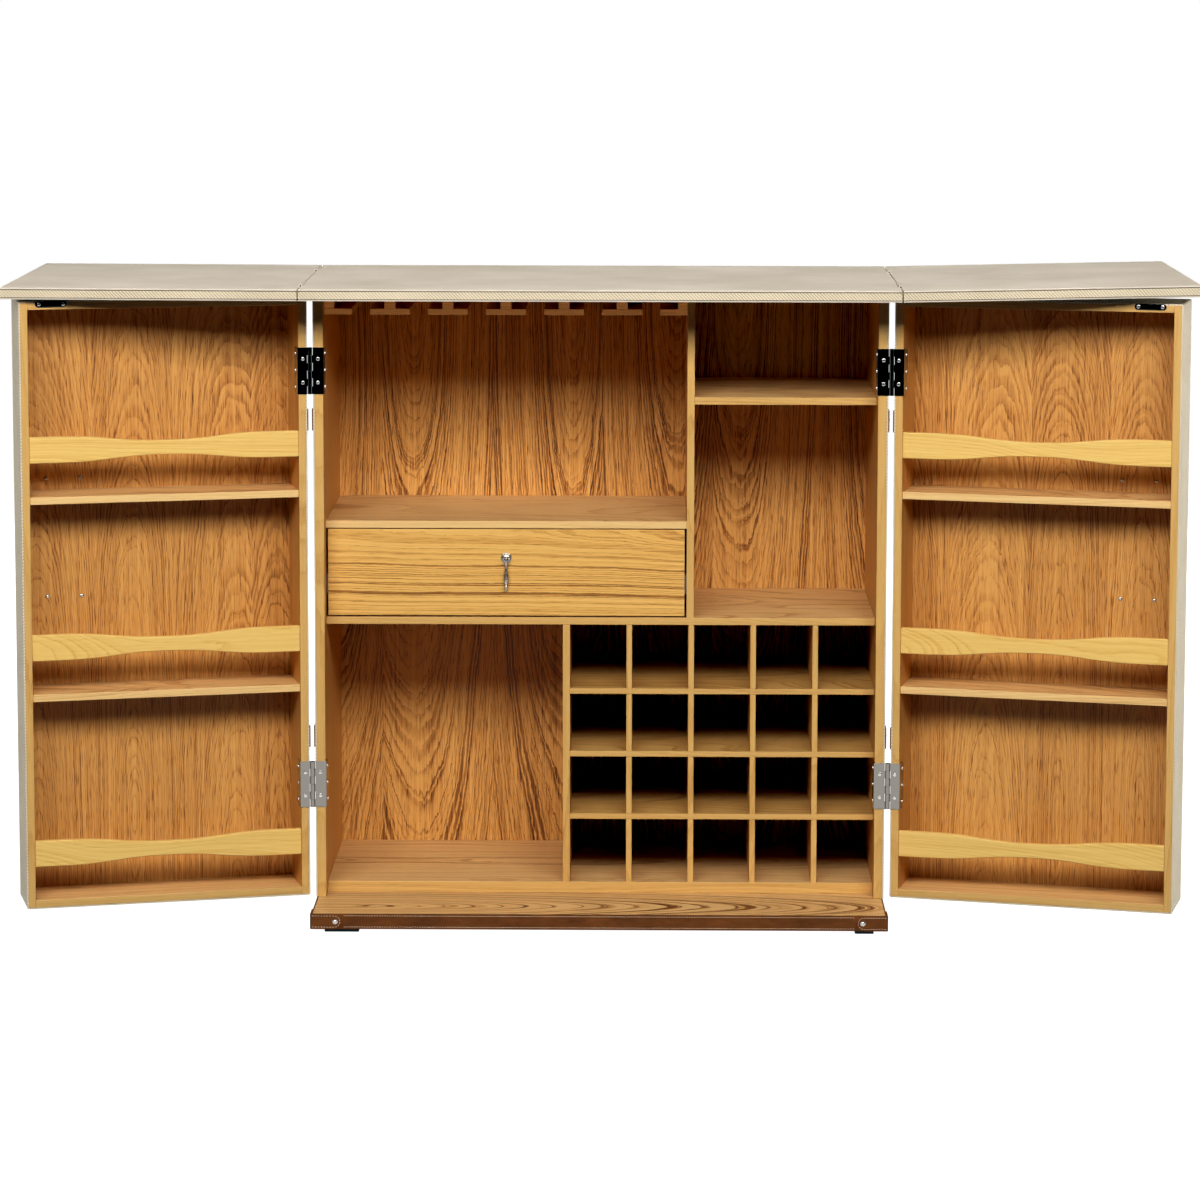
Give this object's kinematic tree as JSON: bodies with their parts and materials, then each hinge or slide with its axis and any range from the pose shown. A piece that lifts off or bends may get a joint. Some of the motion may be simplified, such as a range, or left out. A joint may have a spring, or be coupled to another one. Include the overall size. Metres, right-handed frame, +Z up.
{
  "type": "bar chest",
  "caption": "Trunk-style bar chest standing open: deep shelved doors, folding counter leaves, drawer, bottle rack and stemware rails on a leather-banded plinth.",
  "frame": {"origin": "on the floor under the middle of the counter top", "axes": "+X to the right, +Y to the back, +Z up; the front faces -Y"},
  "size_m": [1.8813, 0.516, 1.0397],
  "materials": {
    "oak": "satin lacquered oak veneer",
    "ash": "satin lacquered pale ash",
    "leatherette": "cream twill-embossed leatherette",
    "covered_board": "board covered in smooth cream leatherette",
    "leather": "stitched brown leather",
    "steel": "polished steel",
    "nickel": "aged nickel",
    "zinc": "zinc-plated steel",
    "magnet": "dark ferrite and steel",
    "rubber": "black rubber"
  },
  "bodies": {
    "carcass": {"plinth": "oak", "plinth_band": "leather", "feet": "rubber", "leather_tabs": "leather", "tab_rivets": "steel", "left_side": "oak", "right_side": "oak", "body_cover": "leatherette", "back_panel": "oak", "carcass_top": "oak", "magnet_catches": "magnet", "floor_panel": "oak", "middle_shelf": "oak", "upper_divider": "oak", "drawer_shelf": "oak", "right_shelf": "oak", "lower_divider": "oak", "rack_shelves": "oak", "rack_uprights": "oak", "glass_rails": "oak", "centre_top": "covered_board", "body_hinges": "steel", "hinge_screws": "steel", "hinge_pins": "steel", "top_hinges": "steel", "drawer_runners": "zinc"},
    "left_door": {"left_door_stiles": "oak", "left_door_ends": "oak", "left_door_panel": "oak", "left_door_cover": "leatherette", "left_door_shelves": "oak", "left_door_guards": "ash", "left_door_hinges": "steel", "left_door_strike": "steel", "left_door_tabs": "leather", "left_door_handle": "leather", "left_door_handle_caps": "steel", "left_door_fixings": "steel"},
    "right_door": {"right_door_stiles": "oak", "right_door_ends": "oak", "right_door_panel": "oak", "right_door_cover": "leatherette", "right_door_shelves": "oak", "right_door_guards": "ash", "right_door_hinges": "steel", "right_door_strike": "steel", "right_door_tabs": "leather", "right_door_handle": "leather", "right_door_handle_caps": "steel", "right_door_fixings": "steel"},
    "left_leaf": {"left_leaf": "covered_board", "left_leaf_hinges": "steel"},
    "right_leaf": {"right_leaf": "covered_board", "right_leaf_hinges": "steel"},
    "drawer": {"drawer_front": "oak", "drawer_box": "oak", "drawer_base": "oak", "drawer_bars": "zinc", "pull_rosette": "nickel"},
    "drawer_pull": {"drop_pull": "nickel"}
  },
  "joints": [
    {"name": "left_door_hinge", "type": "hinge", "parent": "carcass", "child": "left_door", "pos_m": [-0.4645, -0.132, 0.551], "axis": [0, 0, -1], "range_deg": [-165.5, 14.5]},
    {"name": "right_door_hinge", "type": "hinge", "parent": "carcass", "child": "right_door", "pos_m": [0.4645, -0.132, 0.551], "axis": [0, 0, 1], "range_deg": [-165.5, 14.5]},
    {"name": "left_leaf_hinge", "type": "hinge", "parent": "carcass", "child": "left_leaf", "pos_m": [-0.47375, 0, 1.03075], "axis": [0, -1, 0], "range_deg": [-179.8, 0]},
    {"name": "right_leaf_hinge", "type": "hinge", "parent": "carcass", "child": "right_leaf", "pos_m": [0.47375, 0, 1.03075], "axis": [0, 1, 0], "range_deg": [-178.8, 0]},
    {"name": "drawer_slide", "type": "slide", "parent": "carcass", "child": "drawer", "axis": [0, -1, 0], "range_m": [0, 0.22]},
    {"name": "drawer_pull_swing", "type": "hinge", "parent": "drawer", "child": "drawer_pull", "pos_m": [-0.15225, -0.1008, 0.5825], "axis": [-1, 0, 0], "range_deg": [0, 80]}
  ]
}
